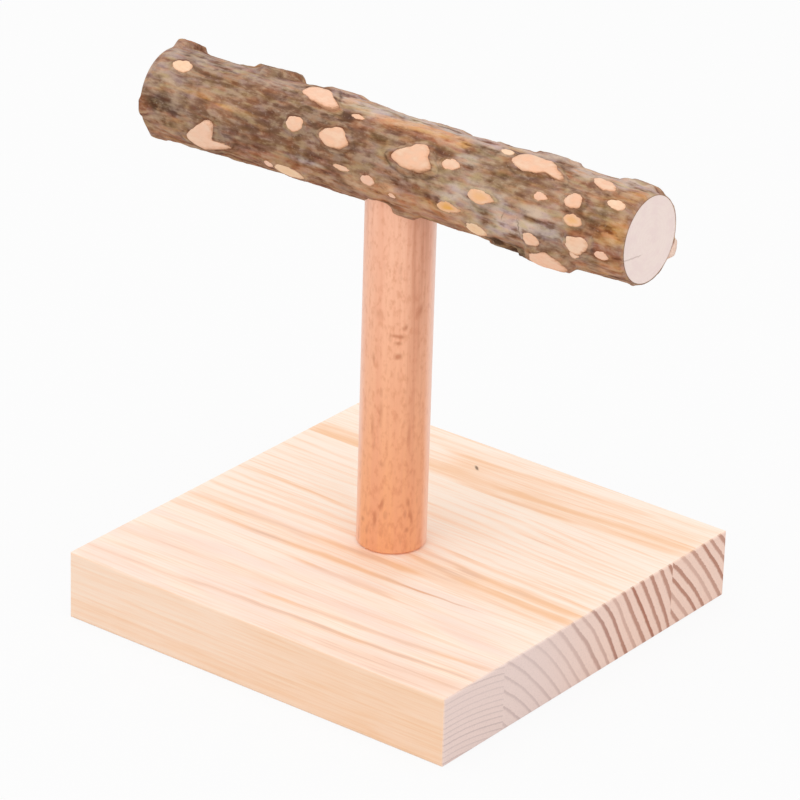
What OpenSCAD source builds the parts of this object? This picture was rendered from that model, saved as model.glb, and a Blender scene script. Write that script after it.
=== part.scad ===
// Table-top bird perch stand: a natural branch across a round post, on a board glued up from three staves.
// The origin is the middle of the board's underside, with +Z up and +X along the board's grain and the perch.

/* [Base] */
// Length of the board, along its grain
base_len = 130; // [110:1:170]
// Depth of the board, across its grain
base_dep = 130; // [110:1:170]
// Thickness of the board
base_t = 20.4; // [16:0.1:28]
// Width of the front stave
front_stave_w = 26.2; // [18:0.1:36]
// Width of the rear stave
rear_stave_w = 26.2; // [18:0.1:36]
// Radius of the board's eased edges
edge_r = 0.7; // [0.4:0.1:1.5]

/* [Post] */
// Diameter of the dowel that makes the post
post_d = 19.6; // [17:0.1:21.5]
// Place of the post's axis along the board's grain
post_x = -2.6; // [-8:0.1:8]
// Place of the post's axis across the board's grain
post_y = -1.1; // [-8:0.1:8]
// Radius of the eased edge of the post's foot and top
post_ease = 0.6; // [0.3:0.1:1]

/* [Perch] */
// Height of the perch's axis over the table
perch_z = 133.4; // [115:0.1:160]
// Length of the perch
perch_len = 160.5; // [130:0.5:200]
// Distance from the post's axis to the middle of the perch
perch_shift = -0.2; // [-5:0.1:5]
// Angle of the perch from the board's grain
perch_turn = 1.1; // [0:0.1:10]
// Diameter of the branch's wood at the left end
wood_d_left = 24.2; // [23.4:0.1:27]
// Diameter of the branch's wood at the right end
wood_d_right = 23.8; // [23.4:0.1:27]
// Thickness of the bark between its ridges
bark_t = 1; // [0.8:0.05:1.4]
// Height of the bark's long ridges and flutes
ridge_h = 0.3; // [0.1:0.05:0.4]
// Depth of the socket under the perch, at its axis
socket_depth = 8.9; // [6:0.1:11]
// Gap round the post in the socket
socket_gap = 0.1; // [0.05:0.05:0.3]
// Least bark left under a sanded knob face
knob_seat = 0.35; // [0.2:0.05:0.5]

/* [Screws] */
// Thread diameter of the screw that holds the post on the board
screw_d = 4; // [3.5:0.1:5]
// Length of that screw, over its head
screw_len = 42; // [34:1:55]
// Diameter of its countersunk head
head_d = 8; // [7.4:0.1:9]
// Depth of the head below the board's underside
head_sink = 0.5; // [0.2:0.1:1.5]
// Thread diameter of the double-ended screw in the socket
stud_d = 4; // [3.5:0.1:5]
// Length of the double-ended screw
stud_len = 29; // [24:1:34]
// How far the double-ended screw reaches up into the perch
stud_up = 10.5; // [8:0.1:12]
// Gap round and past each screw in its bore
bore_gap = 0.1; // [0.05:0.05:0.2]
// Distance from one turn of thread to the next
thread_pitch = 1.8; // [1.4:0.1:2.4]
// Height of the thread over the screw's core
thread_h = 0.55; // [0.3:0.05:0.7]
// Width of the slots of the screw head's cross
cross_w = 0.9; // [0.6:0.1:1.2]
// Depth of the screw head's cross
cross_depth = 1.6; // [1:0.1:2]

/* [Hidden] */
$fn = 96;

// One overrun serves every cut
cut = 1;

// The perch's own sizes, which its bark and knobs follow
wood_slope = (wood_d_right - wood_d_left) / 2 / perch_len;
wood_r_mid = (wood_d_left + wood_d_right) / 4;
perch_d = 2 * (wood_r_mid + bark_t);
socket_z = perch_z - perch_d / 2 + socket_depth;

// Head height of a countersunk screw, whose cone has sides at 45 degrees
head_h = (head_d - screw_d) / 2;
cross_span = 0.55 * head_d;

// The bark's grid: rings along the perch, and points round each ring
bark_rings = 64;
bark_sides = 48;

// Reach of a knob's collar past its face, and of a swelling's foot past its crest, in half sizes of each
collar_share = 1.75;
swell_share = 1.9;

// Sanded knobs. Each row gives the place along the perch as a share of its half length, the angle from the top
// towards the front, the face's length, width and rise as shares of the perch's diameter, and the face's turn.
knob_shares = [
    [-0.888, 28, 0.25, 0.16, 0.050, 10], [-0.336, 4, 0.50, 0.25, 0.045, -6], [-0.143, 25, 0.17, 0.08, 0.040, 0],
    [-0.354, 57, 0.22, 0.16, 0.045, 0], [-0.191, 59, 0.37, 0.22, 0.055, -12], [-0.748, 107, 0.40, 0.38, 0.055, 0],
    [-0.029, 97, 0.17, 0.10, 0.040, 20], [-0.455, 122, 0.12, 0.08, 0.035, 0], [-0.374, 128, 0.36, 0.14, 0.045, 8],
    [0.137, 52, 0.50, 0.31, 0.055, -14], [0.288, 48, 0.21, 0.12, 0.040, 0], [0.434, 74, 0.31, 0.13, 0.045, -8],
    [0.307, 99, 0.29, 0.10, 0.040, 6], [0.436, 7, 0.15, 0.08, 0.035, 0], [0.548, 12, 0.46, 0.24, 0.050, -4],
    [0.676, 23, 0.22, 0.11, 0.040, 0], [0.654, 54, 0.15, 0.08, 0.040, 0], [0.773, 46, 0.21, 0.16, 0.045, 0],
    [0.793, 68, 0.22, 0.10, 0.040, 15], [0.820, 91, 0.28, 0.17, 0.050, -10], [0.810, 113, 0.12, 0.08, 0.035, 0],
    [0.921, 101, 0.17, 0.08, 0.040, 0], [0.829, 12, 0.31, 0.15, 0.045, 22], [0.925, 35, 0.21, 0.10, 0.040, 0],
    [0.639, 105, 0.20, 0.15, 0.045, 0], [0.406, 125, 0.25, 0.17, 0.045, 0], [0.685, 136, 0.37, 0.27, 0.120, 0],
    [0.955, 242, 0.17, 0.22, 0.045, 0], [-0.860, 200, 0.30, 0.20, 0.050, 12], [-0.700, 288, 0.22, 0.14, 0.040, 0],
    [-0.600, 165, 0.24, 0.16, 0.045, -10], [-0.520, 235, 0.36, 0.22, 0.055, 8], [-0.300, 268, 0.20, 0.13, 0.040, 0],
    [-0.240, 305, 0.26, 0.15, 0.045, -15], [-0.230, 205, 0.22, 0.15, 0.040, 0], [0.220, 228, 0.30, 0.19, 0.050, 10],
    [0.340, 292, 0.38, 0.23, 0.055, -8], [0.450, 182, 0.22, 0.15, 0.045, 0], [0.560, 252, 0.27, 0.17, 0.045, 0],
    [0.790, 200, 0.24, 0.16, 0.045, 14], [0.800, 290, 0.21, 0.13, 0.040, 0], [-0.920, 255, 0.22, 0.15, 0.045, 0],
    [0.050, 280, 0.24, 0.15, 0.045, 6]
];

// Swellings with bark over them, in the same terms
swell_shares = [
    [-0.960, 330, 0.30, 0.40, 0.054, 0], [-0.608, 330, 0.60, 0.40, 0.066, 0], [0.576, 330, 0.45, 0.40, 0.040, 0],
    [0.965, 330, 0.20, 0.40, 0.040, 0], [0.560, 154, 0.80, 0.45, 0.070, 0], [0.068, 142, 0.26, 0.20, 0.090, 0],
    [-0.985, 92, 0.12, 0.22, 0.045, 0], [-0.450, 205, 0.50, 0.30, 0.040, 0], [0.300, 262, 0.45, 0.30, 0.035, 0]
];

// Radius of the wood at a place along the perch, measured from its middle
function wood_r(s) = wood_r_mid + wood_slope * s;

// Points of a rectangle about the origin, with its corners rounded in equal steps
function eased_outline(w, h, r, steps = 3) = [
    for (corner = [[1, 1, 0], [-1, 1, 90], [-1, -1, 180], [1, -1, 270]], k = [0 : steps])
        [corner[0] * (w / 2 - r) + r * cos(corner[2] + 90 * k / steps),
         corner[1] * (h / 2 - r) + r * sin(corner[2] + 90 * k / steps)]
];

// Points of an oval about the origin
function oval(length, width, sides = 14) = [
    for (k = [0 : sides - 1]) [length / 2 * cos(360 * k / sides), width / 2 * sin(360 * k / sides)]
];

// Angle from one direction to another, between -180 and 180 degrees
function turn_between(a, b) = (a - b + 540) % 360 - 180;

// How far a place on the bark lies from a mound's middle, where 1 is the mound's own edge
function mound_reach(s, angle, m) =
    let (along = s - m[0] * perch_len / 2,
         round = turn_between(angle, m[1]) * PI / 180 * perch_d / 2,
         u = (along * cos(m[5]) - round * sin(m[5])) / (m[2] * perch_d / 2),
         v = (along * sin(m[5]) + round * cos(m[5])) / (m[3] * perch_d / 2))
    sqrt(u * u + v * v);

// Height of one mound there: level inside its edge, and falling smoothly to nothing at its reach
function mound_rise(s, angle, m, share) =
    let (reach = mound_reach(s, angle, m))
    reach >= share ? 0 : m[4] * perch_d * (reach <= 1 ? 1 : (1 + cos(180 * (reach - 1) / (share - 1))) / 2);

// Height of the long ridges, which wander along the perch
function ridges(s, angle) =
    let (turns = 360 * s / perch_len)
    ridge_h * (sin(5 * angle + 60 * sin(1.5 * turns)) + 0.6 * sin(9 * angle + 90 * sin(turns) + 40)
               + 0.5 * sin(3.7 * turns + 70 * sin(2 * angle))) / 2;

// Radius of the bark's outside: wood, bark and ridges, raised by the highest knob and the highest swelling there
function bark_r(s, angle) =
    wood_r(s) + bark_t + ridges(s, angle)
    + max([for (m = knob_shares) mound_rise(s, angle, m, collar_share)])
    + max([for (m = swell_shares) mound_rise(s, angle, m, swell_share)]);

// Distance from the perch's axis to a knob's flat face, just inside the rim of its collar
function face_h(m) =
    let (half_w = m[3] * perch_d / 2, rim_r = wood_r(m[0] * perch_len / 2) + bark_t + m[4] * perch_d)
    sqrt(rim_r * rim_r - half_w * half_w);

// Lays a shape made along +X about the origin on the perch's axis
module on_perch() {
    translate([post_x, post_y, perch_z]) rotate([0, 0, perch_turn]) translate([perch_shift, 0, 0]) children();
}

// The board's outer shape, with every outer edge eased
module board() {
    intersection() {
        linear_extrude(base_t) polygon(eased_outline(base_len, base_dep, edge_r));
        translate([-base_len / 2, 0, base_t / 2]) rotate([90, 0, 90])
            linear_extrude(base_len) polygon(eased_outline(base_dep, base_t, edge_r));
        translate([0, base_dep / 2, base_t / 2]) rotate([90, 0, 0])
            linear_extrude(base_dep) polygon(eased_outline(base_len, base_t, edge_r));
    }
}

// The length of the board between two places across its grain
module stave(from_y, to_y) {
    intersection() {
        board();
        translate([-base_len, from_y, -cut]) cube([2 * base_len, to_y - from_y, base_t + 2 * cut]);
    }
}

module base_front_stave() {
    color([0.96, 0.84, 0.73]) stave(-base_dep / 2 - cut, -base_dep / 2 + front_stave_w);
}

module base_middle_stave() {
    color([0.98, 0.88, 0.78]) difference() {
        stave(-base_dep / 2 + front_stave_w, base_dep / 2 - rear_stave_w);
        translate([post_x, post_y, 0]) {
            translate([0, 0, -cut]) cylinder(d = screw_d + 2 * bore_gap, h = base_t + 2 * cut);
            translate([0, 0, -cut]) cylinder(d = head_d + 2 * bore_gap, h = head_sink + cut);
            translate([0, 0, head_sink])
                cylinder(d1 = head_d + 2 * bore_gap, d2 = screw_d + 2 * bore_gap, h = head_h);
        }
    }
}

module base_rear_stave() {
    color([0.97, 0.82, 0.68]) stave(base_dep / 2 - rear_stave_w, base_dep / 2 + cut);
}

// The post stands on the board and ends on the socket's floor, with a bore in each end for its screw
module post() {
    post_h = socket_z - base_t;
    color([0.93, 0.68, 0.50]) translate([post_x, post_y, 0]) difference() {
        translate([0, 0, base_t]) rotate_extrude() polygon([
            [0, 0], [post_d / 2 - post_ease, 0], [post_d / 2, post_ease],
            [post_d / 2, post_h - post_ease], [post_d / 2 - post_ease, post_h], [0, post_h]
        ]);
        translate([0, 0, base_t - cut])
            cylinder(d = screw_d + 2 * bore_gap, h = cut + head_sink + screw_len - base_t + bore_gap);
        translate([0, 0, socket_z - (stud_len - stud_up) - bore_gap])
            cylinder(d = stud_d + 2 * bore_gap, h = stud_len);
    }
}

// The branch's wood, sawn square at both ends, with the post's socket and the bore over it
module perch_wood() {
    color([0.93, 0.85, 0.79]) difference() {
        on_perch() wood_round(0);
        socket();
        translate([post_x, post_y, socket_z - cut])
            cylinder(d = stud_d + 2 * bore_gap, h = cut + stud_up + bore_gap);
    }
}

// The tapered round of the wood, longer by an overrun at each end
module wood_round(over) {
    translate([-perch_len / 2 - over, 0, 0]) rotate([0, 90, 0])
        cylinder(r1 = wood_r(-perch_len / 2 - over), r2 = wood_r(perch_len / 2 + over), h = perch_len + 2 * over);
}

// The blind hole that the post goes into from below
module socket() {
    translate([post_x, post_y, socket_z - perch_d])
        cylinder(d = post_d + 2 * socket_gap, h = perch_d);
}

// The bark's outside as rings of points along the perch, closed by a flat face at each end
module bark_skin() {
    points = [
        for (i = [0 : bark_rings], k = [0 : bark_sides - 1])
            let (s = (i / bark_rings - 0.5) * perch_len, angle = 360 * k / bark_sides, r = bark_r(s, angle))
            [s, -r * sin(angle), r * cos(angle)]
    ];
    sides = [
        for (i = [0 : bark_rings - 1], k = [0 : bark_sides - 1])
            let (a = i * bark_sides + k, b = i * bark_sides + (k + 1) % bark_sides)
            each [[a, a + bark_sides, b], [b, a + bark_sides, b + bark_sides]]
    ];
    left_end = [for (k = [0 : bark_sides - 1]) k];
    right_end = [for (k = [bark_sides - 1 : -1 : 0]) bark_rings * bark_sides + k];
    polyhedron(points, concat(sides, [left_end, right_end]));
}

// A knob's prism, from the floor of its seat in the bark up to a given distance from the perch's axis
module knob_prism(m, top_h) {
    floor_h = wood_r(m[0] * perch_len / 2) + knob_seat;
    translate([m[0] * perch_len / 2, 0, 0]) rotate([m[1], 0, 0]) rotate([0, 0, m[5]])
        translate([0, 0, floor_h]) linear_extrude(top_h - floor_h) polygon(oval(m[2] * perch_d, m[3] * perch_d));
}

module perch_bark() {
    color([0.60, 0.45, 0.33]) difference() {
        on_perch() difference() {
            bark_skin();
            wood_round(cut);
            for (m = knob_shares) knob_prism(m, perch_d);
        }
        socket();
    }
}

module knob_faces() {
    color([0.98, 0.83, 0.68]) on_perch() for (m = knob_shares) knob_prism(m, face_h(m));
}

// A threaded shank from one height to another, tapering to a point of its own radius at the upper end
module threaded_shank(d, from_z, to_z) {
    core_r = d / 2 - thread_h;
    turns = floor((to_z - from_z - d) / thread_pitch);
    rotate_extrude($fn = 48) polygon(concat(
        [[0, from_z]],
        [for (k = [0 : turns - 1], p = [[0, 0], [0.3, 0], [0.5, 1], [0.7, 0]])
            [core_r + thread_h * p[1], from_z + (k + p[0]) * thread_pitch]],
        [[core_r, from_z + turns * thread_pitch], [core_r, to_z - d / 2], [0, to_z]]
    ));
}

module base_screw() {
    top_z = head_sink + screw_len;
    color([0.70, 0.71, 0.73]) translate([post_x, post_y, 0]) difference() {
        union() {
            translate([0, 0, head_sink]) cylinder(d1 = head_d, d2 = screw_d, h = head_h);
            translate([0, 0, head_sink + head_h]) cylinder(d = screw_d, h = (base_t - head_sink - head_h) / 2);
            threaded_shank(screw_d, head_sink + head_h + (base_t - head_sink - head_h) / 2, top_z);
        }
        for (angle = [0, 90]) rotate([0, 0, angle])
            translate([-cross_span / 2, -cross_w / 2, head_sink - cut]) cube([cross_span, cross_w, cross_depth + cut]);
    }
}

// The double-ended screw, threaded away from the plane where the post meets the socket's floor
module perch_stud() {
    color([0.70, 0.71, 0.73]) translate([post_x, post_y, socket_z]) {
        threaded_shank(stud_d, 0, stud_up);
        mirror([0, 0, 1]) threaded_shank(stud_d, 0, stud_len - stud_up);
    }
}

base_front_stave();
base_middle_stave();
base_rear_stave();
post();
perch_wood();
perch_bark();
knob_faces();
base_screw();
perch_stud();
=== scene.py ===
"""Table-top bird perch stand: a bark-covered branch across a beech post, on a board glued up from staves.

Lengths are in metres in the stand's own frame. The origin is the middle of the board's underside, +Z is up,
and +X runs along the board's grain and, nearly, along the perch.
"""

from collections import namedtuple
from functools import partialmethod

import bpy
import numpy as np
from mathutils import Matrix, Vector


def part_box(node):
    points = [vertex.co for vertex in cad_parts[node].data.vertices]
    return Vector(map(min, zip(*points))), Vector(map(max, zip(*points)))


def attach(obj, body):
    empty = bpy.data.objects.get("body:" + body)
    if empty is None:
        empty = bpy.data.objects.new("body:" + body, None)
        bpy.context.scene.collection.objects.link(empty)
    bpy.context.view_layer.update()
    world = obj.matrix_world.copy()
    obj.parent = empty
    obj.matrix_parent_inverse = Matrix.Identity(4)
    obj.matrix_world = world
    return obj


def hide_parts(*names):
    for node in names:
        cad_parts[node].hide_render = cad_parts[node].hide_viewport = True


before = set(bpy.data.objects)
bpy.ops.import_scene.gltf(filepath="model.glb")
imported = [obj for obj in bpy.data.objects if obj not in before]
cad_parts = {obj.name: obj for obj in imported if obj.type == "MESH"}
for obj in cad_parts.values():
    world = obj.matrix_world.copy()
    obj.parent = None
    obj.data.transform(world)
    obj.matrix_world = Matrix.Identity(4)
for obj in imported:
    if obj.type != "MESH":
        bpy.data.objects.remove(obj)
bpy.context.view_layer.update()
MM = 0.001


# Studio. A white floor under plain soft light, seen from the front right through a long lens that stands
# well off, so that the board's sides stay nearly parallel.
view_azimuth, view_elevation, view_roll = np.radians([37.146, 25.191, 1.722])
view_distance = 1.370
view_offset = (0.000265, 0.057482)
focal_px, frame_px, sensor_mm = 4907, 800, 36

back = Vector((
    np.sin(view_azimuth) * np.cos(view_elevation),
    -np.cos(view_azimuth) * np.cos(view_elevation),
    np.sin(view_elevation),
))
level = Vector((np.cos(view_azimuth), np.sin(view_azimuth), 0))
upright = back.cross(level)
right = np.cos(view_roll) * level + np.sin(view_roll) * upright
up = np.cos(view_roll) * upright - np.sin(view_roll) * level


def shown(name, data):
    """Puts a camera, a lamp or a mesh into the scene as an object."""
    made = bpy.data.objects.new(name, data)
    bpy.context.scene.collection.objects.link(made)
    return made


camera_data = bpy.data.cameras.new("camera")
camera_data.sensor_width = sensor_mm
camera_data.lens = focal_px * sensor_mm / frame_px
camera = shown("camera", camera_data)
camera.matrix_world = Matrix.Translation(
    right * view_offset[0] + up * view_offset[1] + back * view_distance
) @ Matrix((right, up, back)).transposed().to_4x4()
bpy.context.scene.camera = camera
bpy.context.scene.view_settings.view_transform = "Standard"


def softbox(name, place, aim, size, watts):
    """A square area lamp at a place, turned towards what it lights."""
    lamp = bpy.data.lights.new(name, "AREA")
    lamp.size = size
    lamp.energy = watts
    made = shown(name, lamp)
    made.location = place
    made.rotation_euler = (Vector(aim) - Vector(place)).to_track_quat("-Z", "Y").to_euler()


softbox("overhead_softbox", (-0.1, -0.2, 1.5), (0, 0, 0.05), 1.8, 9)
softbox("front_softbox", (-0.35, -1.5, 0.5), (0, 0, 0.07), 1.1, 2.1)
softbox("end_softbox", (1.5, -0.7, 0.5), (0, 0, 0.07), 1.1, 3.7)


def sees_backdrop(tree):
    """1 for rays from the camera, off a gloss or through glass, for which the backdrop is white, else 0."""
    rays = tree.nodes.new("ShaderNodeLightPath")
    seen = rays.outputs["Is Camera Ray"]
    for other in ("Is Glossy Ray", "Is Transmission Ray"):
        either = tree.nodes.new("ShaderNodeMath")
        either.operation = "MAXIMUM"
        tree.links.new(seen, either.inputs[0])
        tree.links.new(rays.outputs[other], either.inputs[1])
        seen = either.outputs[0]
    return seen


# What the world gives to the light, against the white that the camera sees
air_glow = 0.78
world = bpy.data.worlds.new("studio_air")
bpy.context.scene.world = world
world.use_nodes = True
air = world.node_tree
strength = air.nodes.new("ShaderNodeMapRange")
strength.inputs["To Min"].default_value = air_glow
air.links.new(sees_backdrop(air), strength.inputs["Value"])
air.links.new(strength.outputs[0], air.nodes["Background"].inputs["Strength"])
air.nodes["Background"].inputs["Color"].default_value = (1, 1, 1, 1)

# The floor keeps the stand's shadow and looks nearly white. It lies just clear of the board's underside.
floor_half = 3.0
floor_drop = 0.02 * MM
floor_grey = 0.70
floor_white = 0.9
floor_mesh = bpy.data.meshes.new("floor")
floor_mesh.from_pydata(
    [(across * floor_half, along * floor_half, -floor_drop)
     for across, along in ((-1, -1), (1, -1), (1, 1), (-1, 1))], [], [(0, 1, 2, 3)])
floor = shown("floor", floor_mesh)
floor_paint = bpy.data.materials.new("floor_paint")
floor_paint.use_nodes = True
floor_tree = floor_paint.node_tree
floor_shader = floor_tree.nodes["Principled BSDF"]
floor_shader.inputs["Base Color"].default_value = (floor_grey, floor_grey, floor_grey, 1)
floor_shader.inputs["Roughness"].default_value = 0.9
floor_glow = floor_tree.nodes.new("ShaderNodeEmission")
floor_share = floor_tree.nodes.new("ShaderNodeMath")
floor_share.operation = "MULTIPLY"
floor_share.inputs[1].default_value = floor_white
floor_mix = floor_tree.nodes.new("ShaderNodeMixShader")
for source, socket in (
    (sees_backdrop(floor_tree), floor_share.inputs[0]),
    (floor_share.outputs[0], floor_mix.inputs[0]),
    (floor_shader.outputs[0], floor_mix.inputs[1]),
    (floor_glow.outputs[0], floor_mix.inputs[2]),
    (floor_mix.outputs[0], floor_tree.nodes["Material Output"].inputs["Surface"]),
):
    floor_tree.links.new(source, socket)
floor_mesh.materials.append(floor_paint)


# Board. Three pine staves, planed, glued edge to edge and sanded, with the rings of a different tree showing
# on each one's end. The wood is bare: cream earlywood, orange latewood lines, and a greyer sawn end.
class Tint:
    """A shader socket that can be used in Python expressions, each of which adds its Math node."""

    def __init__(self, finish, socket):
        self.finish = finish
        self.socket = socket

    def math(self, operation, *others):
        return self.finish.node("ShaderNodeMath", {"operation": operation}, dict(enumerate((self, *others))))

    def after(self, operation, other):
        return self.finish.node("ShaderNodeMath", {"operation": operation}, {0: other, 1: self})

    __add__ = partialmethod(math, "ADD")
    __radd__ = partialmethod(after, "ADD")
    __sub__ = partialmethod(math, "SUBTRACT")
    __rsub__ = partialmethod(after, "SUBTRACT")
    __mul__ = partialmethod(math, "MULTIPLY")
    __rmul__ = partialmethod(after, "MULTIPLY")
    __truediv__ = partialmethod(math, "DIVIDE")
    __rtruediv__ = partialmethod(after, "DIVIDE")
    __pow__ = partialmethod(math, "POWER")
    __abs__ = partialmethod(math, "ABSOLUTE")

    def step(self, low, high, bottom=0.0, top=1.0):
        """Eases from bottom to top as the value goes from low to high."""
        return self.finish.node("ShaderNodeMapRange", {"interpolation_type": "SMOOTHSTEP"}, {
            "Value": self, "From Min": low, "From Max": high, "To Min": bottom, "To Max": top})

    def hump(self, middle, half_width):
        """1 at the middle, falling smoothly to 0 at half_width to either side."""
        return abs(self - middle).step(0.0, half_width, 1.0, 0.0)


class Finish:
    """A material being made. node() adds any node, given its type, its settings and its sockets' values."""

    def __init__(self, name, roughness, specular=0.3):
        self.material = bpy.data.materials.new(name)
        self.material.use_nodes = True
        self.tree = self.material.node_tree
        self.shader = self.tree.nodes["Principled BSDF"]
        self.painted("Roughness", roughness)
        self.painted("Specular IOR Level", specular)

    def feed(self, socket, value):
        if isinstance(value, Tint):
            self.tree.links.new(value.socket, socket)
        else:
            socket.default_value = value

    def node(self, kind, settings, inputs, out=0):
        made = self.tree.nodes.new(kind)
        for key, value in settings.items():
            setattr(made, key, value)
        for key, value in inputs.items():
            self.feed(made.inputs[key], value)
        return Tint(self, made.outputs[out])

    def parts(self, kind, value):
        """The parts of a vector or a colour, each as a socket."""
        split = self.node(kind, {}, {0: value})
        return [Tint(self, out) for out in split.socket.node.outputs]

    def place(self):
        """The three Object coordinates, in millimetres."""
        spot = self.node("ShaderNodeTexCoord", {}, {}, "Object")
        return [part / MM for part in self.parts("ShaderNodeSeparateXYZ", spot)]

    def noise(self, x, y, z, detail=2.0, rough=0.5):
        """Fractal noise from 0 to 1 at a place given by three values."""
        spot = self.node("ShaderNodeCombineXYZ", {}, {"X": x, "Y": y, "Z": z})
        return self.node("ShaderNodeTexNoise", {}, {
            "Vector": spot, "Scale": 1.0, "Detail": detail, "Roughness": rough})

    def mixed(self, share, first, second, mode="MIX"):
        """A colour that goes from the first to the second."""
        return self.node("ShaderNodeMix", {"data_type": "RGBA", "blend_type": mode}, {
            0: share, 6: first, 7: second}, 2)

    def layered(self, colour, *coats):
        """Lays coats over a colour. Each is a share from 0 to 1 and the colour that it brings."""
        for share, coat in coats:
            colour = self.mixed(share, colour, coat)
        return colour

    def painted(self, name, value):
        """Feeds one of the shader's sockets."""
        self.feed(self.shader.inputs[name], value)

    def raised(self, height, depth):
        """Bumps the surface by a height from 0 to 1, which stands for a depth in metres."""
        self.painted("Normal", self.node("ShaderNodeBump", {}, {"Height": height, "Distance": depth}))

    def cover(self, *node_names):
        """Puts the material on solids of the frame, in place of their own."""
        for node_name in node_names:
            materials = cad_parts[node_name].data.materials
            materials.clear()
            materials.append(self.material)


def shade_of(red, green, blue):
    """A paint colour given as a screen shows it, from 0 to 255, as the light that it stands for."""
    share = np.array([red, green, blue]) / 255
    light = np.where(share <= 0.04045, share / 12.92, ((share + 0.055) / 1.055) ** 2.4)
    return (*light.tolist(), 1.0)


pine_cream = shade_of(255, 238, 222)
pine_warm = shade_of(254, 220, 193)
pine_line = shade_of(247, 200, 159)
pine_grey_line = shade_of(226, 192, 174)
pine_deep = shade_of(236, 178, 136)
pine_rose = shade_of(246, 216, 204)
pine_end = shade_of(241, 218, 210)
pine_end_warm = shade_of(255, 217, 196)
pine_end_line = shade_of(172, 110, 86)
pine_end_grey = shade_of(184, 158, 154)
resin = shade_of(122, 98, 76)
resin_x, resin_y = -11.9, 50.6
stave_end_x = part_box("base_middle_stave")[1].x / MM


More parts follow.
